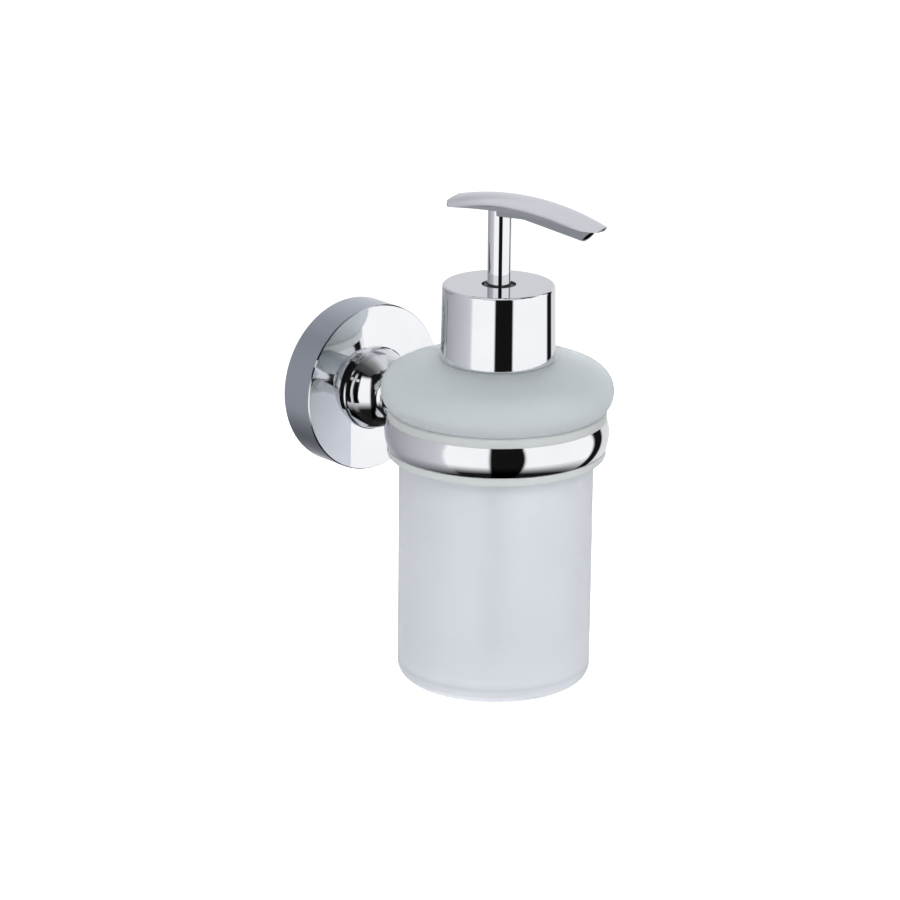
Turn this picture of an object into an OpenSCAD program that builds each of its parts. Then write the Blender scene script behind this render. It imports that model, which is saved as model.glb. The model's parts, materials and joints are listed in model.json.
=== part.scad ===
// Wall mounted soap dispenser. A round flange and a domed post carry a ring, a frosted glass
// bottle hangs by its shoulder in the ring, and a lever pump screws onto the bottle's neck.
// Millimetres. The origin is the centre of the flange's back face, the wall is the plane Y = 0,
// the dispenser stands out from it along -Y, and +Z is up. Z = 0 is the ring's middle plane.

/* [Flange] */
// Radius of the round wall flange
flange_r = 30; // [28:0.5:34]
// How far the flange's front face stands off the wall
flange_depth = 13.4; // [13:0.1:15]
// Thickness of the flange cover's side wall
cover_wall = 1.8; // [1.4:0.1:2.2]
// Thickness of the flange cover's front plate
cover_plate = 2.2; // [1.8:0.1:2.6]
// Distance between the two wall screw holes, one above the other
screw_spacing = 30; // [28:1:32]
// Radius of the wall screw holes
screw_hole_r = 2.6; // [2.2:0.1:3]

/* [Post] */
// Radius of the post's dome
dome_r = 14.5; // [13.5:0.5:15.5]
// Radius of the post's neck, where it meets the ring
neck_post_r = 7.6; // [7:0.1:8]

/* [Ring] */
// Distance from the wall to the bottle's axis
reach = 78.6; // [76:0.2:84]
// Height of the chrome ring
ring_height = 10.6; // [10:0.2:12]
// How much the ring's outside bulges
ring_bulge = 1.2; // [0.6:0.1:1.6]
// Height of the liner's lips above and below the ring
lip_height = 3.3; // [2.8:0.1:3.6]

/* [Bottle] */
// Outside radius of the bottle's body
body_r = 33.5; // [32:0.5:35]
// Depth of the bottle's bottom below the ring's middle plane
bottle_drop = 88.5; // [86:0.5:100]
// Thickness of the body's glass
glass_wall = 2.8; // [2.4:0.1:3.2]
// Thickness of the bottle's floor
glass_floor = 6; // [4:0.5:7]
// Radius of the rounded edge under the bottle
heel_r = 5; // [4:0.5:5.5]

/* [Collar] */
// Outside radius of the chrome collar at its foot
collar_foot_r = 19.7; // [19.5:0.1:20.5]
// Outside radius of the chrome collar at its top
collar_top_r = 19.2; // [18.8:0.1:19.4]
// Height of the collar
collar_height = 25.7; // [25.5:0.1:27]

/* [Pump] */
// Travel of the pump
stroke = 12; // [8:0.5:12]
// Radius of the chrome pump rod
rod_r = 4; // [3.9:0.05:4.1]
// Distance from the dip tube's end to the bottle's floor
tube_gap = 3.5; // [2:0.5:8]
// Number of working coils of the pump spring
spring_coils = 6; // [5:1:7]

/* [Lever] */
// Direction of the lever, in degrees from straight out of the wall
lever_turn = 24.7; // [-180:0.1:180]
// Width of the lever
lever_w = 14; // [13.8:0.2:14.6]
// From the rod's axis to the lever's front tip
lever_front = 38; // [36:0.5:40]
// From the rod's axis to the lever's back end
lever_back = 18.7; // [16:0.1:20]
// Height of the lever's crown above the ring's middle plane
crown_z = 83.7; // [83.2:0.1:84.4]
// Width of the spout's opening
spout_w = 11; // [10:0.5:11.4]

/* [Hidden] */
$fn = 96;
eps = 0.5;              // how far a cutting shape runs past what it cuts
fit_gap = 0.05;         // running clearance, on the radius
seat_gap = 0.1;         // clearance where two moving bodies rest on each other

// Wall bracket, and the cover's grub screw. Depths are distances from the wall.
bracket_plate = 2.5;
bracket_r = flange_r - 6.8;
bracket_rim_t = 2.6;
bracket_rim_depth = 8.6;
bracket_flare = 1.2;
grub_depth = 5.5;
grub_r = 2;
grub_tip = bracket_r + 0.8;
boss_inner = bracket_r + 1.7;
boss_w = 8;
boss_h = 7;
cover_bevel = 0.4;
cover_inside = flange_depth - cover_plate;

// Post: base ring, groove, dome and neck, then the screws that hold it
base_ring_r = 14.9;
base_ring_in = 12.55;
base_ring_h = 1.4;
groove_h = 0.7;
groove_r = 14;
dome_centre = flange_depth - 0.4;
dome_start = flange_depth + base_ring_h + groove_h;
neck_fillet = 3;
post_end = reach - body_r - 9.1;
m6_r = 3;
m6_head_r = 5;
m6_head_h = 4;
washer_r = 6.5;
washer_t = 1.6;
post_thread_end = flange_depth + 11.6;
dowel_r = 1.5;
dowel_offset = 9.5;
dowel_end = flange_depth + 4.6;
m4_r = 2;
m4_head_r = 4;

// Ring and liner, as radii from the bottle's axis
liner_in = body_r + 0.4;
liner_out = liner_in + 1.6;
ring_in = liner_out + fit_gap;
ring_r = ring_in + 3.05;
ring_arc = (pow(ring_height / 2, 2) + pow(ring_bulge, 2)) / (2 * ring_bulge);
lip_r = ring_r - 1;
lip_round = 1.2;
liner_top = ring_height / 2 + lip_height;

// Glass bottle: the shoulder is a round nose that runs into a shallow dome
seat_z = liner_top + seat_gap;
nose_r = 8;
nose_x = body_r - 1.6;
nose_z = seat_z + 6.1;
dome_arc = 50;
dome_join = 67;
dome_x = nose_x - (dome_arc - nose_r) * cos(dome_join);
dome_z = nose_z - (dome_arc - nose_r) * sin(dome_join);
join_x = nose_x + nose_r * cos(dome_join);
shoulder_z = dome_z + dome_arc;
shoulder_wall = 3.7;
mouth_r = 13.2;
mouth_bore = 10.4;
mouth_z = shoulder_z + 16.9;
thread_h = 0.65;
thread_foot = 0.9;
thread_land = 0.3;
thread_zs = [mouth_z - 10.5, mouth_z - 6.5];
floor_z = glass_floor - bottle_drop;
inner_heel = 4;

// Collar and closure
collar_z = shoulder_z + 0.1;
collar_top_z = collar_z + collar_height;
collar_plate = 1.6;
collar_edge = 1;
collar_bore = 17;
collar_hole = 5.9;
cap_out = collar_bore - fit_gap;
cap_in = mouth_r + 0.95;
cap_foot_z = collar_z + 2.3;
cap_rib = 2.4;

// Pump, from the neck down. Heights are absolute.
gasket_t = 1.2;
flange_z = mouth_z + gasket_t;
flange_t = 1.6;
bore_r = 6.02;
housing_r = 7.2;
insert_flange_z = flange_z + flange_t;
insert_flange_t = 1.2;
insert_flange_r = 9.5;
cap_roof_z = insert_flange_z + insert_flange_t + fit_gap;
insert_foot_z = flange_z - 11.2;
insert_bore = rod_r + 0.5;
hub_r = 5.6;
hub_top_z = collar_top_z - 0.7;
guide_z = insert_flange_z + 1.8;
seal_pocket_r = 5;
seal_h = 1.8;
piston_top_z = insert_foot_z - seat_gap;
piston_h = 10;
piston_foot_z = piston_top_z - piston_h;
lip_t = 1.2;
piston_waist = 4.6;
stem_r = 2.9;
stem_bore = 1.4;
stem_flange_r = 5.2;
stem_foot_z = piston_foot_z - 3;
valve_r = 2.1;
valve_z = 60.5;
stem_top_z = 75.5;
outlet_ball_r = 1.75;
outlet_ball_z = valve_z + 1.13;
ledge_z = -4.5;
chamber_r = 3;
chamber_foot_z = ledge_z - 4.5;
inlet_r = 1.6;
inlet_z = chamber_foot_z - 2;
inlet_ball_r = 2.5;
inlet_ball_z = chamber_foot_z + 0.13;
socket_top_z = inlet_z - 1.5;
socket_foot_z = socket_top_z - 9.5;
spigot_r = 4.7;
tube_r = 3.3;
tube_bore = 2.3;
tube_foot_z = floor_z + tube_gap;
seat_t = 2.4;
spring_r = 4.4;
wire_r = 0.45;
spring_foot_z = ledge_z + seat_t;
spring_top_z = stem_foot_z;
coil_steps = 20;
wire_sides = 8;

// Lever: a plate arched along its length and across it, with a spout under it. In the lever's
// own frame X runs from the rod's axis towards the tip.
crown_x = 3;
crown_arc = 82;
camber_arc = 8.9;
heel_x = -12.3;
heel_arc = 7.7;
under_x = -1.76;
under_z = crown_z - 4.7;
under_arc = 165;
relief_x = 32.6;
relief_slope = 5.4;
end_arc = 9.67;
rod_foot_z = piston_top_z + seat_gap;
rod_top_z = crown_z - 3.2;
rod_bore = stem_r + fit_gap;
rod_socket = rod_r + 0.02;
spout_h = 1.7;
spout_side = 1;
spout_floor = 0.5;
spout_drop = 0.4;
spout_tip = [32.3, 0, crown_z - 11];
spout_slope = 13.2;
spout_run = 25;
duct_start = 1.5;
duct_run = 8.8;
duct_z = crown_z - 6;
port_r = 1.1;

// ---- frames ----

// Local +Z points away from the wall, local +Y up, and local Z is the distance from the wall
module off_wall(d = 0) {
    translate([0, -d, 0]) rotate([90, 0, 0]) children();
}

// Local origin on the bottle's axis, at the height of the ring's middle plane
module at_bottle(z = 0) {
    translate([0, -reach, z]) children();
}

// Local +X points along the lever to its tip
module at_lever() {
    at_bottle() rotate([0, 0, lever_turn - 90]) children();
}

// ---- shared shapes ----

module tube(h, outer, inner) {
    difference() {
        cylinder(h = h, r = outer);
        translate([0, 0, -eps]) cylinder(h = h + 2 * eps, r = inner);
    }
}

// A hexagon socket for a key, cut from z = 0 upwards
module hex_socket(across_corners, depth) {
    translate([0, 0, -eps]) cylinder(h = depth + eps, d = across_corners, $fn = 6);
}

// A pointed oval, the overlap of two circles
module lens(w, h) {
    arc = (w * w + h * h) / (4 * h);
    intersection() {
        translate([0, h / 2 - arc]) circle(arc);
        translate([0, arc - h / 2]) circle(arc);
    }
}

// Points along an arc, from angle a to angle b
function arc_points(centre, r, a, b, n = 8) =
    [for (i = [0:n]) centre + r * [cos(a + (b - a) * i / n), sin(a + (b - a) * i / n)]];

// ---- wall fixing ----

// Disc that the two wall screws hold. Its rim flares, so the grub screw draws the cover in.
module wall_bracket() {
    color("lightgray")
    off_wall()
    difference() {
        union() {
            cylinder(h = bracket_plate, r = bracket_r);
            rotate_extrude()
            polygon([[bracket_r - bracket_rim_t, 0],
                     [bracket_r, 0],
                     [bracket_r, bracket_plate],
                     [bracket_r + bracket_flare, bracket_rim_depth],
                     [bracket_r - bracket_rim_t, bracket_rim_depth]]);
        }
        for (side = [-1, 1])
            translate([0, side * screw_spacing / 2, -eps])
            cylinder(h = bracket_plate + 2 * eps, r = screw_hole_r);
    }
}

// Chrome cup over the bracket, with a threaded boss for the grub screw at its foot
module flange_cover() {
    color("silver")
    off_wall()
    difference() {
        union() {
            difference() {
                rotate_extrude()
                polygon([[0, 0],
                         [flange_r, 0],
                         [flange_r, flange_depth - cover_bevel],
                         [flange_r - cover_bevel, flange_depth],
                         [0, flange_depth]]);
                translate([0, 0, -eps])
                cylinder(h = cover_inside + eps, r = flange_r - cover_wall);
            }
            translate([-boss_w / 2, -(flange_r - cover_wall / 2), grub_depth - boss_h / 2])
            cube([boss_w, flange_r - cover_wall / 2 - boss_inner, boss_h]);
        }
        translate([0, 0, cover_inside - eps])
        cylinder(h = cover_plate + 2 * eps, r = m6_r + 0.2);
        translate([0, dowel_offset, cover_inside - eps])
        cylinder(h = cover_plate + 2 * eps, r = dowel_r + 0.02);
        translate([0, -boss_inner + 1, grub_depth])
        rotate([90, 0, 0])
        cylinder(h = flange_r, r = grub_r);
    }
}

module cover_grub_screw() {
    tip_h = 1.2;
    head_y = -(flange_r - 0.8);
    color("dimgray")
    off_wall()
    translate([0, head_y, grub_depth])
    rotate([-90, 0, 0])
    difference() {
        union() {
            cylinder(h = -head_y - grub_tip - tip_h, r = grub_r - 0.03);
            translate([0, 0, -head_y - grub_tip - tip_h])
            cylinder(h = tip_h, r1 = grub_r - 0.03, r2 = 0.9);
        }
        hex_socket(2.3, 2);
    }
}

// Cap screw from inside the cover into the post
module post_screw() {
    head_z = cover_inside - washer_t - m6_head_h;
    color("gray")
    off_wall(head_z)
    difference() {
        union() {
            cylinder(h = m6_head_h, r = m6_head_r);
            cylinder(h = post_thread_end - 1 - head_z, r = m6_r - 0.03);
        }
        hex_socket(5.8, 2.5);
    }
}

module post_washer() {
    color("gray")
    off_wall(cover_inside - washer_t)
    tube(washer_t, washer_r, m6_r + 0.1);
}

// Pin that stops the post turning on the cover
module post_dowel() {
    color("gray")
    off_wall(cover_inside + 0.2)
    translate([0, dowel_offset, 0])
    cylinder(h = dowel_end - cover_inside - 0.7, r = dowel_r);
}

// Thin bright rim where the post stands on the flange
module post_base_ring() {
    edge = 0.4;
    color("silver")
    off_wall(flange_depth)
    rotate_extrude()
    polygon([[base_ring_in, 0],
             [base_ring_r, 0],
             [base_ring_r, base_ring_h - edge],
             [base_ring_r - edge, base_ring_h],
             [base_ring_in, base_ring_h]]);
}

// Solid chrome post: a spigot, a groove, a dome, and a neck that ends flat against the ring
module post() {
    fillet_x = neck_post_r + neck_fillet;
    fillet_z = dome_centre + sqrt(pow(dome_r + neck_fillet, 2) - pow(fillet_x, 2));
    fillet_a = atan2(fillet_z - dome_centre, fillet_x);
    dome_a = asin((dome_start - dome_centre) / dome_r);
    color("silver")
    difference() {
        off_wall()
        rotate_extrude()
        polygon(concat(
            [[0, flange_depth],
             [base_ring_in - fit_gap, flange_depth],
             [base_ring_in - fit_gap, flange_depth + base_ring_h],
             [groove_r, flange_depth + base_ring_h],
             [groove_r, dome_start]],
            arc_points([0, dome_centre], dome_r, dome_a, fillet_a, 24),
            arc_points([fillet_x, fillet_z], neck_fillet, fillet_a + 180, 180, 8),
            [[neck_post_r, post_end],
             [0, post_end]]));
        off_wall(flange_depth - eps)
        cylinder(h = post_thread_end - flange_depth + eps, r = m6_r);
        off_wall(flange_depth - eps)
        translate([0, dowel_offset, 0])
        cylinder(h = dowel_end - flange_depth + eps, r = dowel_r + 0.02);
        off_wall(post_thread_end + 2)
        cylinder(h = post_end - post_thread_end, r = m4_r);
    }
}

// ---- ring ----

// Chrome ring with a bulged outside, and the round boss that meets the post's neck
module ring_holder() {
    color("silver")
    difference() {
        union() {
            at_bottle()
            rotate_extrude()
            intersection() {
                translate([ring_in, -ring_height / 2]) square([ring_r, ring_height]);
                translate([ring_r - ring_arc, 0]) circle(ring_arc);
            }
            difference() {
                off_wall(post_end) cylinder(h = reach - ring_in - post_end, r = neck_post_r);
                for (low = [-neck_post_r - eps, ring_height / 2])
                    at_bottle(low)
                    cylinder(h = neck_post_r + eps - ring_height / 2, r = ring_r - 0.2);
            }
        }
        at_bottle(-neck_post_r - eps) cylinder(h = 2 * (neck_post_r + eps), r = ring_in);
        off_wall(post_end - eps) cylinder(h = reach - post_end, r = m4_r + 0.1);
        off_wall(reach - ring_in - 2.4)
        cylinder(h = 4.8, r1 = m4_r + 0.1, r2 = 2 * m4_head_r + 0.9 - m4_r);
    }
}

// Countersunk screw from inside the ring into the post, hidden behind the liner
module ring_screw() {
    head_h = 2;
    face = reach - ring_in - 0.4;
    tip = post_thread_end + 3;
    color("gray")
    off_wall(tip)
    difference() {
        union() {
            cylinder(h = face - head_h - tip, r = m4_r - 0.02);
            translate([0, 0, face - head_h - tip])
            cylinder(h = head_h, r1 = m4_r - 0.02, r2 = m4_head_r);
        }
        translate([0, 0, face - 1.6 - tip]) cylinder(h = 3, d = 2.9, $fn = 6);
    }
}

// Soft translucent sleeve between ring and glass, with a lip above and a lip below the ring
module ring_liner() {
    half = ring_height / 2;
    top_lip = arc_points([lip_r - lip_round, liner_top - lip_round], lip_round, 0, 90, 6);
    low_lip = arc_points([lip_r - 1.5 * lip_round, 1.5 * lip_round - liner_top],
                         1.5 * lip_round, -90, 0, 8);
    color("gainsboro", 0.8)
    at_bottle()
    rotate_extrude()
    polygon(concat(
        [[liner_in, -liner_top]],
        low_lip,
        [[lip_r, -half], [liner_out, -half], [liner_out, half], [lip_r, half]],
        top_lip,
        [[liner_in, liner_top]]));
}

// ---- bottle ----

module glass_outside() {
    translate([0, -bottle_drop]) square([body_r - heel_r, bottle_drop + seat_z]);
    translate([0, heel_r - bottle_drop]) square([body_r, bottle_drop - heel_r + seat_z]);
    translate([body_r - heel_r, heel_r - bottle_drop]) circle(heel_r);
    intersection() {
        translate([0, seat_z]) square([nose_x + 2 * nose_r, dome_arc]);
        union() {
            translate([nose_x, nose_z]) circle(nose_r);
            intersection() {
                translate([0, seat_z - eps]) square([join_x, dome_arc]);
                translate([dome_x, dome_z]) circle(dome_arc);
            }
        }
    }
    square([mouth_r, mouth_z]);
}

module glass_inside() {
    inner_r = body_r - glass_wall;
    in_join = nose_x + (nose_r - shoulder_wall) * cos(dome_join);
    translate([-1, floor_z]) square([inner_r - inner_heel + 1, nose_z - floor_z]);
    translate([-1, floor_z + inner_heel]) square([inner_r + 1, nose_z - floor_z - inner_heel]);
    translate([inner_r - inner_heel, floor_z + inner_heel]) circle(inner_heel);
    translate([nose_x, nose_z]) circle(nose_r - shoulder_wall);
    intersection() {
        translate([-1, nose_z - eps]) square([in_join + 1, dome_arc]);
        translate([dome_x, dome_z]) circle(dome_arc - shoulder_wall);
    }
    translate([-1, 0]) square([mouth_bore + 1, mouth_z + eps]);
}

// Frosted glass bottle, hung by its shoulder, with ring-shaped threads on its neck
module glass_bottle() {
    color("lightcyan", 0.6)
    at_bottle() {
        rotate_extrude()
        intersection() {
            difference() {
                glass_outside();
                glass_inside();
            }
            translate([0, -bottle_drop]) square([nose_x + 2 * nose_r, bottle_drop + mouth_z]);
        }
        for (z = thread_zs)
            rotate_extrude()
            polygon([[mouth_r - 1, z - thread_foot],
                     [mouth_r, z - thread_foot],
                     [mouth_r + thread_h, z - thread_land],
                     [mouth_r + thread_h, z + thread_land],
                     [mouth_r, z + thread_foot],
                     [mouth_r - 1, z + thread_foot]]);
    }
}

// ---- pump, the part that stays still ----

module neck_gasket() {
    color("white")
    at_bottle(mouth_z)
    tube(gasket_t, mouth_r, mouth_bore + 0.1);
}

// Pump barrel with a flange on the bottle's mouth, a ball seat and a socket for the dip tube
module pump_housing() {
    flange_out = mouth_r - 0.2;
    color("whitesmoke")
    at_bottle()
    rotate_extrude()
    polygon([[bore_r, insert_flange_z],
             [bore_r, ledge_z],
             [chamber_r, ledge_z],
             [chamber_r, chamber_foot_z],
             [inlet_r, inlet_z],
             [inlet_r, socket_top_z],
             [tube_r + 0.02, socket_top_z],
             [tube_r + 0.02, socket_foot_z],
             [spigot_r, socket_foot_z],
             [spigot_r, socket_top_z + 1],
             [housing_r, socket_top_z + 5],
             [housing_r, flange_z],
             [flange_out, flange_z],
             [flange_out, insert_flange_z]]);
}

// Plug in the barrel's top, which guides the rod and stops the piston
module housing_insert() {
    color("dimgray")
    at_bottle()
    rotate_extrude()
    polygon([[insert_bore, insert_foot_z],
             [bore_r - 0.03, insert_foot_z],
             [bore_r - 0.03, insert_flange_z],
             [insert_flange_r, insert_flange_z],
             [insert_flange_r, insert_flange_z + insert_flange_t],
             [hub_r, insert_flange_z + insert_flange_t],
             [hub_r, hub_top_z],
             [rod_r + fit_gap, hub_top_z],
             [rod_r + fit_gap, guide_z],
             [seal_pocket_r, guide_z],
             [seal_pocket_r, guide_z - seal_h - 0.1],
             [insert_bore, guide_z - seal_h - 0.1]]);
}

module stem_seal() {
    color("black")
    at_bottle(guide_z - seal_h - 0.05)
    tube(seal_h, seal_pocket_r - 0.02, rod_r + 0.03);
}

// Disc under the spring that keeps the inlet ball in its chamber, with holes for the soap
module spring_seat() {
    hole_ring = 3.6;
    color("white")
    at_bottle(ledge_z)
    difference() {
        cylinder(h = seat_t, r = bore_r - 0.04);
        translate([0, 0, -eps]) cylinder(h = seat_t + 2 * eps, r = 1.2);
        for (a = [0:90:270])
            rotate([0, 0, a])
            translate([hole_ring, 0, -eps])
            cylinder(h = seat_t + 2 * eps, r = 1);
    }
}

// Dip tube, cut off at a slant so that it can't seal on the floor
module dip_tube() {
    top_z = socket_top_z - 0.1;
    color("white", 0.8)
    at_bottle()
    difference() {
        translate([0, 0, tube_foot_z]) tube(top_z - tube_foot_z, tube_r, tube_bore);
        translate([-tube_r, 0, tube_foot_z])
        rotate([0, 45, 0])
        translate([-3 * tube_r, -2 * tube_r, -4 * tube_r])
        cube([8 * tube_r, 4 * tube_r, 4 * tube_r]);
    }
}

// Height of the wire's centre after t turns: closed end coils, and even working coils between
function coil_z(t) =
    let (turns = spring_coils + 2,
         closed = 2 * wire_r,
         low = spring_foot_z + wire_r,
         high = spring_top_z - wire_r,
         pitch = (high - low - 2 * closed) / spring_coils)
    t < 1 ? low + closed * t
    : t > turns - 1 ? high - closed * (turns - t)
    : low + closed + pitch * (t - 1);

// Steel return spring, swept along its helix
module pump_spring() {
    rings = (spring_coils + 2) * coil_steps;
    points = [for (i = [0:rings], k = [0:wire_sides - 1])
        let (a = 360 * i / coil_steps,
             b = 360 * k / wire_sides,
             r = spring_r + wire_r * cos(b))
        [r * cos(a), r * sin(a), coil_z(i / coil_steps) + wire_r * sin(b)]];
    walls = [for (i = [0:rings - 1], k = [0:wire_sides - 1])
        let (next = (k + 1) % wire_sides, here = i * wire_sides, there = here + wire_sides)
        [here + k, there + k, there + next, here + next]];
    first = [for (k = [0:wire_sides - 1]) k];
    last = [for (k = [wire_sides - 1:-1:0]) rings * wire_sides + k];
    color("gray")
    at_bottle()
    polyhedron(points = points, faces = concat(walls, [first, last]));
}

module inlet_ball() {
    color("lightgray")
    at_bottle(inlet_ball_z)
    sphere(inlet_ball_r);
}

// ---- cap ----

// Threaded plastic closure that clamps the pump onto the bottle's mouth
module closure_cap() {
    color("whitesmoke")
    at_bottle()
    rotate_extrude()
    polygon([[cap_in, cap_foot_z],
             [cap_out, cap_foot_z],
             [cap_out, collar_top_z - collar_plate],
             [cap_out - cap_rib, collar_top_z - collar_plate],
             [cap_out - cap_rib, cap_roof_z + 2],
             [hub_r + 0.6, cap_roof_z + 2],
             [hub_r + 0.6, cap_roof_z],
             [cap_in, cap_roof_z]]);
}

// Chrome collar over the closure, slightly narrower at its top
module collar_shell() {
    color("silver")
    at_bottle()
    rotate_extrude()
    polygon(concat(
        [[collar_bore, collar_z],
         [collar_foot_r, collar_z]],
        arc_points([collar_top_r - collar_edge, collar_top_z - collar_edge],
                   collar_edge, 0, 90, 8),
        [[collar_hole, collar_top_z],
         [collar_hole, collar_top_z - collar_plate],
         [collar_bore, collar_top_z - collar_plate]]));
}

// ---- pump, the part that is pressed ----

// Double-lipped piston on the stem
module piston() {
    lip_out = bore_r - fit_gap;
    color("white")
    at_bottle(piston_foot_z)
    rotate_extrude()
    polygon([[stem_r + 0.02, 0.8],
             [piston_waist, 0.8],
             [lip_out - 0.5, 0],
             [lip_out, 0],
             [lip_out, lip_t],
             [piston_waist, lip_t + 1.6],
             [piston_waist, piston_h - lip_t - 1.6],
             [lip_out, piston_h - lip_t],
             [lip_out, piston_h],
             [stem_r + 0.02, piston_h]]);
}

// Hollow stem with a foot for the spring and a cone seat for the outlet ball
module piston_stem() {
    foot_t = 1.8;
    color("white")
    at_bottle()
    rotate_extrude()
    polygon([[stem_bore, stem_foot_z],
             [stem_flange_r, stem_foot_z],
             [stem_flange_r, stem_foot_z + foot_t],
             [stem_r, stem_foot_z + foot_t],
             [stem_r, stem_top_z],
             [valve_r, stem_top_z],
             [valve_r, valve_z + 1.3],
             [stem_bore, valve_z]]);
}

module outlet_ball() {
    color("lightgray")
    at_bottle(outlet_ball_z)
    sphere(outlet_ball_r);
}

// Chrome tube around the stem, with a side port into the lever's duct
module rod_sleeve() {
    color("silver")
    difference() {
        at_bottle(rod_foot_z)
        difference() {
            cylinder(h = rod_top_z - rod_foot_z, r = rod_r);
            translate([0, 0, -eps])
            cylinder(h = rod_top_z - rod_foot_z - 1 + eps, r = rod_bore);
        }
        at_lever()
        translate([0, 0, duct_z])
        rotate([0, 90, 0])
        cylinder(h = 2 * rod_r, r = port_r);
    }
}

// ---- lever ----

// Plan of the lever: straight sides and bowed ends
module lever_plan() {
    half = lever_w / 2;
    front = lever_front - end_arc;
    back = end_arc - lever_back;
    translate([back, -half]) square([front - back, lever_w]);
    for (end = [[front, 0], [back, -end_arc]])
        intersection() {
            translate([end[0], 0]) circle(end_arc);
            translate([end[0] + end[1], -half]) square([end_arc, lever_w]);
        }
}

// Everything below the plate's arched underside
module under_space() {
    translate([under_x, 0, under_z - under_arc])
    rotate([90, 0, 0])
    cylinder(h = 2 * lever_w, r = under_arc, center = true, $fn = 360);
}

// Thins the plate's tip in front of the spout: all that lies below a plane from relief_x on
module tip_relief() {
    depth = 12;
    from = under_z - under_arc + sqrt(pow(under_arc, 2) - pow(relief_x - under_x, 2));
    translate([relief_x, 0, from])
    rotate([0, relief_slope, 0])
    translate([0, -lever_w, -depth])
    cube([lever_front, 2 * lever_w, depth]);
}

// The lever's plate without its socket: cambered on top, rounded down at its back end, and
// arched above and below
module lever_plate() {
    depth = 24;
    heel_top = crown_z - crown_arc + sqrt(pow(crown_arc, 2) - pow(crown_x - heel_x, 2));
    difference() {
        intersection() {
            translate([0, 0, crown_z - depth]) linear_extrude(2 * depth) lever_plan();
            union() {
                translate([heel_x, -lever_w, crown_z - depth])
                cube([2 * lever_front, 2 * lever_w, 2 * depth]);
                translate([heel_x, 0, heel_top - heel_arc])
                rotate([90, 0, 0])
                cylinder(h = 2 * lever_w, r = heel_arc, center = true);
            }
            translate([crown_x, 0, crown_z - crown_arc])
            rotate([90, 0, 0])
            rotate_extrude($fn = 360)
            intersection() {
                translate([0, -lever_w]) square([crown_arc + 1, 2 * lever_w]);
                translate([crown_arc - camber_arc, 0]) circle(camber_arc, $fn = 360);
            }
        }
        under_space();
        tip_relief();
    }
}

// Outside of the spout's section: sloping flanks and a shallow round belly
module spout_outside() {
    half = spout_w / 2 + spout_side;
    corner = 0.45;
    belly = spout_h / 2 + spout_drop + spout_floor;
    top = 5;
    arc = (pow(half, 2) + pow(belly - corner, 2)) / (2 * (belly - corner));
    intersection() {
        polygon([[-half - 0.5, top], [-half, -corner], [-half, -belly],
                 [half, -belly], [half, -corner], [half + 0.5, top]]);
        union() {
            translate([-2 * half, -corner]) square([4 * half, 2 * top]);
            translate([0, arc - belly]) circle(arc);
        }
    }
}

// The soap's way from the rod to the spout's mouth: its child is the section, and the last
// stretch runs on by beyond
module duct(beyond = 0) {
    translate([duct_start, 0, duct_z])
    rotate([90, 0, 90])
    linear_extrude(duct_run) children();
    translate(spout_tip)
    rotate([0, spout_slope, 0])
    translate([-spout_run, 0, 0])
    rotate([90, 0, 90])
    linear_extrude(spout_run + beyond) children();
}

module lever_top() {
    color("silver")
    at_lever()
    difference() {
        lever_plate();
        translate([0, 0, rod_foot_z]) cylinder(h = rod_top_z + 0.05 - rod_foot_z, r = rod_socket);
    }
}

module lever_channel() {
    color("silver")
    at_lever()
    difference() {
        intersection() {
            duct() spout_outside();
            under_space();
        }
        duct(3) translate([0, -spout_drop]) lens(spout_w, spout_h);
        translate([0, 0, rod_foot_z]) cylinder(h = crown_z, r = rod_socket);
    }
}

wall_bracket();
flange_cover();
cover_grub_screw();
post_screw();
post_washer();
post_dowel();
post_base_ring();
post();
ring_holder();
ring_screw();
ring_liner();
glass_bottle();
neck_gasket();
pump_housing();
housing_insert();
stem_seal();
spring_seat();
dip_tube();
pump_spring();
inlet_ball();
closure_cap();
collar_shell();
piston();
piston_stem();
outlet_ball();
rod_sleeve();
lever_top();
lever_channel();
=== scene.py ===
import json
import math

import bpy
from mathutils import Matrix, Vector


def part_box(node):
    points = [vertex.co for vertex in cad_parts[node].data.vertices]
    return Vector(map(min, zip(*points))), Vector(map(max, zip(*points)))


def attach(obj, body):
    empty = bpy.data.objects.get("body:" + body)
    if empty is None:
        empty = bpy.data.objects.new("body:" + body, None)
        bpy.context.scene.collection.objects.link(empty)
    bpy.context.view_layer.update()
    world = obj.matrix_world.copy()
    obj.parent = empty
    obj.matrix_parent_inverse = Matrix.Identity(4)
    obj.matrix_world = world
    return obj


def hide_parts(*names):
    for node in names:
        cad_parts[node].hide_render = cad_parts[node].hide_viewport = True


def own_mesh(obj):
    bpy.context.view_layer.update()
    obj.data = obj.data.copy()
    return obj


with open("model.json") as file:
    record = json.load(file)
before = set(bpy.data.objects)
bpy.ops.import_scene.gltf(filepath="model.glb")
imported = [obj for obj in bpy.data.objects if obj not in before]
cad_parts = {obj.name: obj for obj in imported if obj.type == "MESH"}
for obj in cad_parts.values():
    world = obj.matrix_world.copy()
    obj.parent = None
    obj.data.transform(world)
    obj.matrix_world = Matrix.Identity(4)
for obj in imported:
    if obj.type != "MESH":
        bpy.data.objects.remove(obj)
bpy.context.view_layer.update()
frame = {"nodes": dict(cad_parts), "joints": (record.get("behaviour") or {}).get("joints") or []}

# Places and sizes are in metres and angles in degrees, unless a comment says otherwise.
MM = 0.001
JOINTS = {joint["name"]: joint for joint in frame["joints"]}
AXIS = JOINTS["head_swivel"]["pos_m"][:2]      # X and Y of the bottle's upright axis

CAMERA_AZIMUTH, CAMERA_ELEVATION, CAMERA_ROLL = -41.345, 17.861, 0.620
CAMERA_TARGET = (-121.86, -192.97, 46.28)      # in millimetres, as are the next three
CAMERA_DISTANCE = 1133.8
CAMERA_LENS = 152.53
CAMERA_SENSOR = 36

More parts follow.
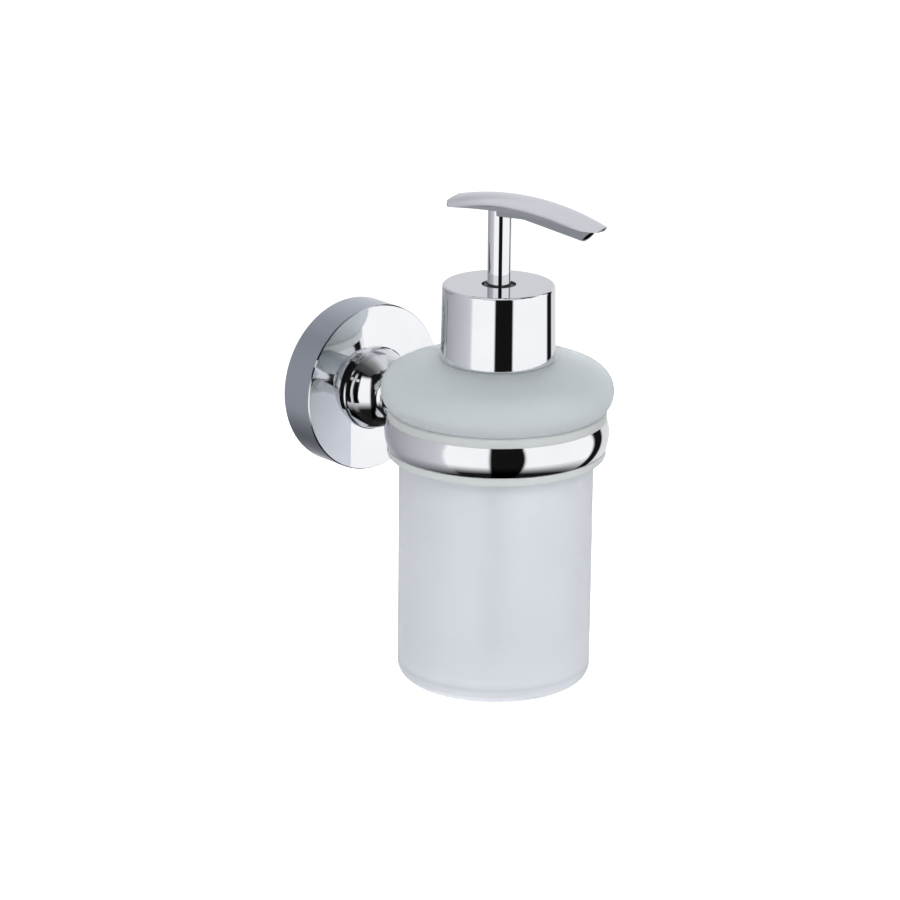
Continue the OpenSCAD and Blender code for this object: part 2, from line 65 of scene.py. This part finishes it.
FLANGE_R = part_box("flange_cover")[1][0]
RIM_START = FLANGE_R - 0.15 * MM               # the flange's rim, measured from its centre
RIM_FULL = FLANGE_R - 0.05 * MM

BOTTLE_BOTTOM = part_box("glass_bottle")[0][2]
FLOOR_LINE_REACH = 0.0115                      # the glass floor's darker line is below this
SHOULDER_START, SHOULDER_FULL = 0.006, 0.015   # heights where the thick glass sets in, with its green cast and a painted shadow under the collar
INSIDE_R = 0.0309                              # glass nearer the axis is the smooth inner wall,
INSIDE_BOTTOM, INSIDE_TOP = -0.088, 0.005      # between these heights

WIRE_R = 0.00045                               # the pump spring's wire
SPRING_COILS = 6

FLOOR_Z = -0.30
FLOOR_REACH = 12.0


# ---- node helpers ----

class Nodes:
    """A node tree with short ways to add and link nodes."""

    def __init__(self, tree):
        self.tree = tree

    def add(self, kind, inputs=None, **settings):
        node = self.tree.nodes.new(kind)
        for name, value in settings.items():
            setattr(node, name, value)
        for key, value in (inputs or {}).items():
            self.feed(node.inputs[key], value)
        return node

    def feed(self, socket, value):
        """Link value to the socket if it is a socket too, or else set it."""
        if isinstance(value, bpy.types.NodeSocket):
            self.tree.links.new(value, socket)
        else:
            socket.default_value = value

    def math(self, operation, *values):
        node = self.add("ShaderNodeMath", operation=operation)
        for i, value in enumerate(values):
            self.feed(node.inputs[i], value)
        return node.outputs[0]

    def ramp(self, value, stops):
        """Stops are (position, colour) pairs, where a bare number is a grey."""
        node = self.add("ShaderNodeValToRGB", {0: value})
        elements = node.color_ramp.elements
        elements.remove(elements[-1])
        for i, (position, colour) in enumerate(stops):
            element = elements[0] if i == 0 else elements.new(position)
            element.position = position
            element.color = (*colour, 1) if isinstance(colour, tuple) else (colour,) * 3 + (1,)
        return node.outputs[0]

    def mix(self, factor, a, b, blend="MIX"):
        node = self.add("ShaderNodeMix", data_type="RGBA", blend_type=blend)
        # a Mix node has its colour sockets, A and B, at 6 and 7 and its colour result at 2
        self.feed(node.inputs[0], factor)
        self.feed(node.inputs[6], a)
        self.feed(node.inputs[7], b)
        return node.outputs[2]

    def axes(self, kind):
        """X, Y and Z of the place for "Object", or of the way the surface faces for "Normal"."""
        return self.add("ShaderNodeSeparateXYZ", {
            0: self.add("ShaderNodeTexCoord").outputs[kind]}).outputs

    def distance(self, a, b):
        """How far a place is from the line that a and b are measured from."""
        squares = self.math("ADD", self.math("POWER", a, 2.0), self.math("POWER", b, 2.0))
        return self.math("SQRT", squares)

    def span(self, value, start, end):
        """0 at start, 1 at end and an even change between them."""
        return self.add("ShaderNodeMapRange", {
            "Value": value, "From Min": start, "From Max": end}).outputs[0]

    def noise(self, scale, detail=3.0, stretch=(1, 1, 1), rough=0.5):
        where = self.add("ShaderNodeTexCoord").outputs["Object"]
        stretched = self.add("ShaderNodeMapping", {"Vector": where, "Scale": stretch})
        node = self.add("ShaderNodeTexNoise", {
            "Vector": stretched.outputs[0], "Scale": scale, "Detail": detail,
            "Roughness": rough})
        return node.outputs["Fac"]

    def between(self, noise, low, high):
        """Spreads a noise, which stays mostly between 0.3 and 0.7, from low to high."""
        return self.add("ShaderNodeMapRange", {
            "Value": noise, "From Min": 0.3, "From Max": 0.7,
            "To Min": low, "To Max": high}).outputs[0]

    def bump(self, height, strength, distance):
        return self.add("ShaderNodeBump", {
            "Height": height, "Strength": strength, "Distance": distance}).outputs[0]


def material(name, **sockets):
    """A new material, its nodes and its shader. An underscore stands for a space in a socket's
    name."""
    finish = bpy.data.materials.new(name)
    finish.use_nodes = True
    shader = finish.node_tree.nodes["Principled BSDF"]
    for socket, value in sockets.items():
        shader.inputs[socket.replace("_", " ")].default_value = value
    return finish, Nodes(finish.node_tree), shader


def rgb(red, green, blue):
    return (red, green, blue, 1.0)


# ---- materials ----

def make_chrome(name, clean, smudged, painted_shade, bright=(0.80, 0.81, 0.83), cloudy=(0.76, 0.77, 0.80)):
    """Polished plate: a faint cloudy tint, smudges that take the roughness from clean to smudged,
    and a very soft waviness. The last argument paints shade: it gives how far each place is
    towards a painted shade, from 0 to 1, that shade's darker tint, and the roughness that it
    adds."""
    finish, nodes, shader = material(name, Metallic=1.0)
    cloud = nodes.between(nodes.noise(60, 4), 0.0, 1.0)
    tint = nodes.mix(cloud, rgb(*bright), rgb(*cloudy))
    smudge = nodes.between(nodes.noise(220, 6, rough=0.65), clean, smudged)
    # painted shade: the tint goes towards the shade's darker colour where its mask says, and its
    # roughness is added there
    amount, shaded_tint, rougher = painted_shade(nodes)
    tint = nodes.mix(amount, tint, shaded_tint)
    smudge = nodes.math("ADD", smudge, nodes.math("MULTIPLY", amount, rougher))
    nodes.feed(shader.inputs["Base Color"], tint)
    nodes.feed(shader.inputs["Roughness"], smudge)
    nodes.feed(shader.inputs["Normal"], nodes.bump(nodes.noise(35, 1), 0.03, 0.0004))
    return finish


def shaded_rim(nodes):
    """Painted shade on the flange's rim, outside its face: a darker tint, and some added
    roughness.
    """
    where = nodes.axes("Object")
    from_centre = nodes.distance(where["X"], where["Z"])
    # painted shade: this darker tint stands in for the darker reflections that the rim shows
    return nodes.span(from_centre, RIM_START, RIM_FULL), rgb(0.44, 0.465, 0.51), 0.12


def shaded_flanks(nodes):
    """Painted shade on the lever's upright and under sides: darker the further down they face,
    with some added roughness.
    """
    # painted shade: faces that turn sideways or down get a much darker tint
    flank = nodes.span(nodes.axes("Normal")["Z"], 0.45, 0.05)
    return flank, rgb(0.26, 0.27, 0.30), 0.12


def shaded_tops(nodes):
    """Painted shade on level faces, such as the collar's top: a darker tint where a face looks
    straight up.
    """
    # painted shade: faces that look up get a darker tint, with no added roughness
    top = nodes.span(nodes.axes("Normal")["Z"], 0.85, 0.97)
    return top, rgb(0.66, 0.67, 0.69), 0.0


def make_plastic(name, base, darker, rough, **sockets):
    """Moulded plastic or rubber: slight tone changes and a fine, even grain."""
    finish, nodes, shader = material(name, **sockets)
    cloud = nodes.between(nodes.noise(45, 3), 0.0, 1.0)
    nodes.feed(shader.inputs["Base Color"], nodes.mix(cloud, rgb(*base), rgb(*darker)))
    nodes.feed(shader.inputs["Roughness"],
               nodes.between(nodes.noise(300, 4), rough - 0.06, rough + 0.06))
    nodes.feed(shader.inputs["Normal"], nodes.bump(nodes.noise(1500, 2), 0.08, 0.0001))
    return finish


def make_steel(name, base, rough, stretch=(1, 1, 1)):
    """Plain steel: streaks in its tone, roughness and surface, from rolling or turning."""
    finish, nodes, shader = material(name, Metallic=1.0)
    streak = nodes.noise(700, 4, stretch)
    darker = tuple(channel * 0.8 for channel in base)
    nodes.feed(shader.inputs["Base Color"],
               nodes.mix(nodes.between(streak, 0.0, 1.0), rgb(*base), rgb(*darker)))
    nodes.feed(shader.inputs["Roughness"], nodes.between(streak, rough - 0.07, rough + 0.1))
    nodes.feed(shader.inputs["Normal"], nodes.bump(streak, 0.1, 0.0001))
    return finish


def glass_tint(nodes, where):
    """Pale blue-grey on the body; in the thick shoulder and neck a green cast, darkened further
    as a painted shadow under the collar; and a darker line low down, where the glass floor shows."""
    cloud = nodes.between(nodes.noise(25, 2), 0.0, 1.0)
    body = nodes.mix(cloud, rgb(0.785, 0.807, 0.843), rgb(0.742, 0.764, 0.807))
    # the shoulder's tint is partly the thick glass's green cast and partly painted shadow under
    # the collar
    shoulder = nodes.mix(cloud, rgb(0.705, 0.752, 0.768), rgb(0.685, 0.732, 0.748))
    high = nodes.span(where["Z"], SHOULDER_START, SHOULDER_FULL)
    low = nodes.span(where["Z"], BOTTLE_BOTTOM, BOTTLE_BOTTOM + FLOOR_LINE_REACH)
    floor_line = nodes.ramp(low, [
        (0.0, 1.0), (0.38, 1.0), (0.50, (0.84, 0.85, 0.87)), (0.60, 1.0)])
    return nodes.mix(1.0, nodes.mix(high, body, shoulder), floor_line, "MULTIPLY")


def make_glass():
    """Acid-frosted glass: rough outside and smoother inside, with a very fine grain."""
    finish, nodes, shader = material("frosted_glass", IOR=1.45, Transmission_Weight=0.55)
    where = nodes.axes("Object")
    from_axis = nodes.distance(where["X"], nodes.math("SUBTRACT", where["Y"], AXIS[1]))
    level = nodes.math("COMPARE", where["Z"], (INSIDE_TOP + INSIDE_BOTTOM) / 2,
                       (INSIDE_TOP - INSIDE_BOTTOM) / 2)
    inside = nodes.math("MULTIPLY", nodes.math("LESS_THAN", from_axis, INSIDE_R), level)
    smoother = nodes.math("SUBTRACT", 1.0, nodes.math("MULTIPLY", inside, 0.65))
    frost = nodes.between(nodes.noise(500, 5), 0.50, 0.58)
    nodes.feed(shader.inputs["Base Color"], glass_tint(nodes, where))
    nodes.feed(shader.inputs["Roughness"], nodes.math("MULTIPLY", frost, smoother))
    nodes.feed(shader.inputs["Normal"], nodes.bump(nodes.noise(2500, 2), 0.10, 0.00008))
    return finish


# the chrome and post_chrome tops, the flange's rim and the lever's flanks each get painted shade
chrome = make_chrome("chrome", 0.015, 0.05, shaded_tops)
lever_chrome = make_chrome("lever_chrome", 0.16, 0.22, shaded_flanks,
                           (0.73, 0.74, 0.76), (0.69, 0.70, 0.73))
flange_chrome = make_chrome("flange_chrome", 0.015, 0.05, shaded_rim)
post_chrome = make_chrome("post_chrome", 0.07, 0.10, shaded_tops)
white_plastic = make_plastic("white_plastic", (0.68, 0.68, 0.67), (0.64, 0.64, 0.63), 0.42)
tube_plastic = make_plastic("tube_plastic", (0.82, 0.85, 0.85), (0.78, 0.81, 0.81), 0.35,
                            Transmission_Weight=0.4)
liner_plastic = make_plastic("liner_plastic", (0.80, 0.83, 0.83), (0.76, 0.80, 0.80), 0.45,
                             Transmission_Weight=0.5)
black_plastic = make_plastic("black_plastic", (0.012, 0.012, 0.013), (0.018, 0.018, 0.019), 0.45)
black_rubber = make_plastic("black_rubber", (0.02, 0.02, 0.02), (0.03, 0.03, 0.03), 0.6)
white_rubber = make_plastic("white_rubber", (0.75, 0.75, 0.73), (0.7, 0.7, 0.68), 0.6)
bracket_steel = make_steel("bracket_steel", (0.52, 0.53, 0.55), 0.38, (1, 1, 8))
screw_steel = make_steel("screw_steel", (0.42, 0.43, 0.45), 0.3)
spring_steel = make_steel("spring_steel", (0.60, 0.60, 0.61), 0.25)
frosted_glass = make_glass()

FINISHES = {
    chrome: ["post_base_ring", "ring_holder", "collar_shell", "rod_sleeve"],
    post_chrome: ["post"],
    flange_chrome: ["flange_cover"],
    lever_chrome: ["lever_top", "lever_channel"],
    bracket_steel: ["wall_bracket"],
    screw_steel: ["cover_grub_screw", "post_screw", "post_washer", "post_dowel", "ring_screw"],
    spring_steel: ["inlet_ball", "outlet_ball", "pump_spring"],
    liner_plastic: ["ring_liner"],
    frosted_glass: ["glass_bottle"],
    white_rubber: ["neck_gasket"],
    black_rubber: ["stem_seal"],
    tube_plastic: ["dip_tube"],
    black_plastic: ["housing_insert"],
    white_plastic: ["pump_housing", "spring_seat", "closure_cap", "piston", "piston_stem"],
}
for finish, names in FINISHES.items():
    for name in names:
        mesh = frame["nodes"][name].data
        mesh.materials.clear()
        mesh.materials.append(finish)


# ---- studio ----

def around(nodes, azimuth, stops):
    """A colour by azimuth. The stops are at angles from -180 to 180, where 0 is the main camera's
    side and a positive angle is to its right."""
    return nodes.ramp(azimuth, [(angle / 360 + 0.5, colour) for angle, colour in stops])


def upward(nodes, height, stops):
    """A colour by height. The stops are at angles from -90, straight down, to 90."""
    return nodes.ramp(height, [(angle / 180 + 0.5, colour) for angle, colour in stops])


def sky_angles(nodes):
    """Azimuth and height of the direction looked in, both scaled to run from 0 to 1."""
    turned = nodes.add("ShaderNodeVectorRotate", {
        "Vector": nodes.add("ShaderNodeTexCoord").outputs["Generated"],
        "Angle": math.radians(-CAMERA_AZIMUTH)}, rotation_type="Z_AXIS")
    axes = nodes.add("ShaderNodeSeparateXYZ", {0: turned.outputs[0]}).outputs
    azimuth = nodes.math("ARCTAN2", axes["X"], nodes.math("MULTIPLY", axes["Y"], -1.0))
    azimuth = nodes.math("ADD", nodes.math("DIVIDE", azimuth, 2 * math.pi), 0.5)
    height = nodes.math("DIVIDE", nodes.math("ARCSINE", axes["Z"]), math.pi)
    return azimuth, nodes.math("ADD", height, 0.5)


def studio_sky(nodes, azimuth, height):
    """The studio as the chrome sees it: upright soft boxes with dark gaps between them, a grey
    left side, and a ceiling that is black over the camera and pale behind the object."""
    white, black = 1.14, 0.008
    boxes = around(nodes, azimuth, [
        (-180, (0.80, 0.80, 0.82)), (-165, (0.50, 0.50, 0.54)), (-135, (0.36, 0.365, 0.40)),
        (-100, (0.52, 0.525, 0.56)), (-66, (0.66, 0.66, 0.70)), (-58, (0.74, 0.74, 0.78)),
        (-53, white), (-9, white), (-6, black), (27, black), (30, white), (112, white),
        (117, black), (131, black), (135, 0.85), (180, (0.80, 0.80, 0.82))])
    ceiling = around(nodes, azimuth, [
        (-180, (0.83, 0.835, 0.87)), (-141, (0.57, 0.575, 0.61)), (-105, (0.68, 0.685, 0.72)),
        (-84, (0.64, 0.645, 0.68)), (-72, black), (45, black), (100, (0.40, 0.405, 0.43)),
        (145, (0.80, 0.805, 0.83)), (165, (0.83, 0.835, 0.87)), (180, (0.83, 0.835, 0.87))])

    # the ceiling starts lower at the back than at the front
    is_back = around(nodes, azimuth, [(-150, 1.0), (-125, 0.0), (134, 0.0), (150, 1.0)])
    above_front = upward(nodes, height, [(36, 0.0), (44, 1.0)])
    above_back = upward(nodes, height, [(-5, 0.0), (12, 1.0)])
    sky = nodes.mix(nodes.mix(is_back, above_front, above_back), boxes, ceiling)
    overhead = upward(nodes, height, [(53, 0.0), (62, 1.0)])
    sky = nodes.mix(overhead, sky, rgb(0.84, 0.845, 0.88))

    # towards the ground it all gets dark, sooner at the front and right than elsewhere
    is_front = around(nodes, azimuth, [(-60, 0.0), (-50, 1.0), (115, 1.0), (125, 0.0)])
    low_side = upward(nodes, height, [(-57, 0.03), (-45, 0.44), (-28, 1.0)])
    low_front = upward(nodes, height, [(-50, 0.01), (-42, 0.25), (-26, 1.0)])
    return nodes.mix(1.0, sky, nodes.mix(is_front, low_side, low_front), "MULTIPLY")


def make_world():
    """The studio for reflections, a plain soft tent for the light on matte surfaces, and plain
    white for what the camera sees behind the object or through the glass."""
    world = bpy.data.worlds.new("studio")
    bpy.context.scene.world = world
    world.use_nodes = True
    world.node_tree.nodes.clear()
    nodes = Nodes(world.node_tree)
    azimuth, height = sky_angles(nodes)
    tent = upward(nodes, height, [(-90, (0.34, 0.34, 0.35)), (0, (0.66, 0.66, 0.67)), (90, 0.80)])
    path = nodes.add("ShaderNodeLightPath").outputs
    lighting = nodes.mix(path["Is Diffuse Ray"], studio_sky(nodes, azimuth, height), tent)
    studio = nodes.add("ShaderNodeBackground", {"Color": lighting, "Strength": 1.0})
    plain = nodes.add("ShaderNodeBackground", {"Color": rgb(1, 1, 1), "Strength": 1.0})
    seen = nodes.math("MAXIMUM", path["Is Camera Ray"], path["Is Transmission Ray"])
    both = nodes.add("ShaderNodeMixShader", {
        0: seen, 1: studio.outputs[0], 2: plain.outputs[0]})
    nodes.add("ShaderNodeOutputWorld", {0: both.outputs[0]})


def make_camera():
    """A long lens aimed at CAMERA_TARGET, turned a little about its own line of sight."""
    azimuth, elevation, roll = (
        math.radians(angle) for angle in (CAMERA_AZIMUTH, CAMERA_ELEVATION, CAMERA_ROLL))
    back = Vector((math.sin(azimuth) * math.cos(elevation),
                   -math.cos(azimuth) * math.cos(elevation), math.sin(elevation)))
    right = Vector((math.cos(azimuth), math.sin(azimuth), 0))
    up = back.cross(right)
    across = right * math.cos(roll) + up * math.sin(roll)
    upright = up * math.cos(roll) - right * math.sin(roll)
    place = (Vector(CAMERA_TARGET) + back * CAMERA_DISTANCE) * MM
    lens = bpy.data.cameras.new("camera")
    lens.sensor_width = CAMERA_SENSOR
    lens.lens = CAMERA_LENS
    camera = bpy.data.objects.new("camera", lens)
    bpy.context.scene.collection.objects.link(camera)
    camera.matrix_world = Matrix((
        (across.x, upright.x, back.x, place.x),
        (across.y, upright.y, back.y, place.y),
        (across.z, upright.z, back.z, place.z),
        (0, 0, 0, 1)))
    bpy.context.scene.camera = camera


def circle(count):
    """The angles, in radians, of count even steps round a circle."""
    return [2 * math.pi * i / count for i in range(count)]


def stage_face(name, corners, finish):
    """A flat piece of the studio, which isn't part of the object."""
    mesh = bpy.data.meshes.new(name)
    mesh.from_pydata(corners, [], [range(len(corners))])
    mesh.materials.append(finish)
    piece = bpy.data.objects.new(name, mesh)
    bpy.context.scene.collection.objects.link(piece)
    return piece


def stage_card(name, corners, finish):
    """A flat piece of the studio that only reflections see."""
    card = stage_face(name, corners, finish)
    for ray in ("camera", "diffuse", "transmission", "shadow", "volume_scatter"):
        setattr(card, "visible_" + ray, False)


def make_floor():
    """A wide pale floor well below the object, as it hangs on its wall."""
    finish, nodes, shader = material(
        "pale_floor", Emission_Strength=0.40, Emission_Color=rgb(1, 1, 1), Roughness=0.9)
    nodes.feed(shader.inputs["Base Color"],
               nodes.mix(nodes.noise(3, 3), rgb(0.93, 0.93, 0.93), rgb(0.90, 0.90, 0.90)))
    rim = [(FLOOR_REACH * math.cos(a), FLOOR_REACH * math.sin(a), FLOOR_Z) for a in circle(64)]
    floor = stage_face("floor", rim, finish)
    floor.visible_glossy = False


def make_shade_card():
    """A level card over the post, nearly black at its left and pale at its right. The post's
    dome mirrors it as a darker top."""
    finish, nodes, shader = material(
        "shade_grey", Emission_Strength=1.0, Base_Color=rgb(0, 0, 0))
    x0, x1, y0, y1, z = (value * MM for value in (-40, 14, -44, 0, 45))
    fade = nodes.span(nodes.axes("Object")["X"], x0, x1)
    nodes.feed(shader.inputs["Emission Color"], nodes.ramp(fade, [
        (0.0, 0.03), (0.35, 0.08), (0.62, 0.30), (0.85, (0.75, 0.755, 0.79))]))
    stage_card("shade", [(x0, y0, z), (x1, y0, z), (x1, y1, z), (x0, y1, z)], finish)


def make_black_card():
    """An upright black card to the left of the post. The post mirrors it as a black crescent."""
    finish = material("flag_black", Roughness=1.0, Base_Color=rgb(0.004, 0.004, 0.004),
                      Specular_IOR_Level=0.0)[0]
    x, y0, y1, z0, z1 = (value * MM for value in (-30.5, -22, -15, -13, 34))
    stage_card("flag", [(x, y0, z0), (x, y1, z0), (x, y1, z1), (x, y0, z1)], finish)


def make_round_lamp():
    """A small round lamp in front of the black card, mirrored in the post's black crescent."""
    finish = material("lamp_glow", Emission_Strength=0.75, Base_Color=rgb(0, 0, 0),
                      Emission_Color=rgb(1, 0.98, 0.95))[0]
    x, y, z, half_width, half_height = (value * MM for value in (-30.2, -18.0, 15.5, 2.6, 2.2))
    rim = [(x, y - half_width * math.cos(a), z + half_height * math.sin(a)) for a in circle(32)]
    stage_card("lamp_high", rim, finish)


def make_light(name, offset, size, watts):
    """A large soft lamp that shines at the bottle and that no reflection shows. The offset is
    from the bottle's axis, at the height of the origin."""
    light = bpy.data.lights.new(name, "AREA")
    light.shape = "DISK"
    light.size = size
    light.energy = watts
    lamp = bpy.data.objects.new(name, light)
    bpy.context.scene.collection.objects.link(lamp)
    turn = Vector(offset).to_track_quat("Z", "Y").to_matrix().to_4x4()
    lamp.matrix_world = Matrix.Translation(Vector((*AXIS, 0)) + Vector(offset)) @ turn
    lamp.visible_glossy = False


# ---- pump spring ----

def wire_mesh(radius, z0, z1):
    """A round wire wound into even coils between two closed end coils, from z0 to z1. radius is
    that of the wire's centre line."""
    turns, steps, sides = SPRING_COILS + 2, 48, 14
    closed = 2 * WIRE_R
    height = z1 - z0 - 2 * WIRE_R
    pitch = (height - 2 * closed) / SPRING_COILS

    def rise(turn):
        if turn < 1:
            return closed * turn
        if turn > turns - 1:
            return height - closed * (turns - turn)
        return closed + pitch * (turn - 1)

    rings = turns * steps
    points = []
    for i in range(rings + 1):
        around_axis = 2 * math.pi * i / steps
        for around_wire in circle(sides):
            r = radius + WIRE_R * math.cos(around_wire)
            z = z0 + WIRE_R + rise(i / steps) + WIRE_R * math.sin(around_wire)
            points.append((AXIS[0] + r * math.cos(around_axis),
                           AXIS[1] + r * math.sin(around_axis), z))
    faces = [(i * sides + k, i * sides + (k + 1) % sides,
              (i + 1) * sides + (k + 1) % sides, (i + 1) * sides + k)
             for i in range(rings) for k in range(sides)]
    ends = [tuple(range(sides))[::-1], tuple(rings * sides + k for k in range(sides))]
    mesh = bpy.data.meshes.new("spring_wire")
    mesh.from_pydata(points, [], faces + ends)
    mesh.polygons.foreach_set("use_smooth", [True] * len(faces) + [False] * len(ends))
    mesh.update()
    return mesh


def make_spring():
    """The pump's return spring as a smooth wire, in the place of its faceted CAD solid."""
    (x0, _, z0), (x1, _, z1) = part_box("pump_spring")
    mesh = wire_mesh((x1 - x0) / 2 - WIRE_R, z0, z1)
    mesh.materials.append(spring_steel)
    spring = bpy.data.objects.new("spring_wire", mesh)
    bpy.context.scene.collection.objects.link(spring)
    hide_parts("pump_spring")
    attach(spring, "pump")
    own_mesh(spring)


make_world()
make_camera()
make_floor()
make_shade_card()
make_black_card()
make_round_lamp()
make_light("key", (-0.7, -1.2, 1.3), 1.2, 16)
make_light("wall_fill", (0.15, 0.9, 0.1), 0.6, 2.5)
make_light("side_fill", (0.75, 0.60, 0.05), 0.6, 4.2)
make_spring()
bpy.context.scene.view_settings.view_transform = "Standard"
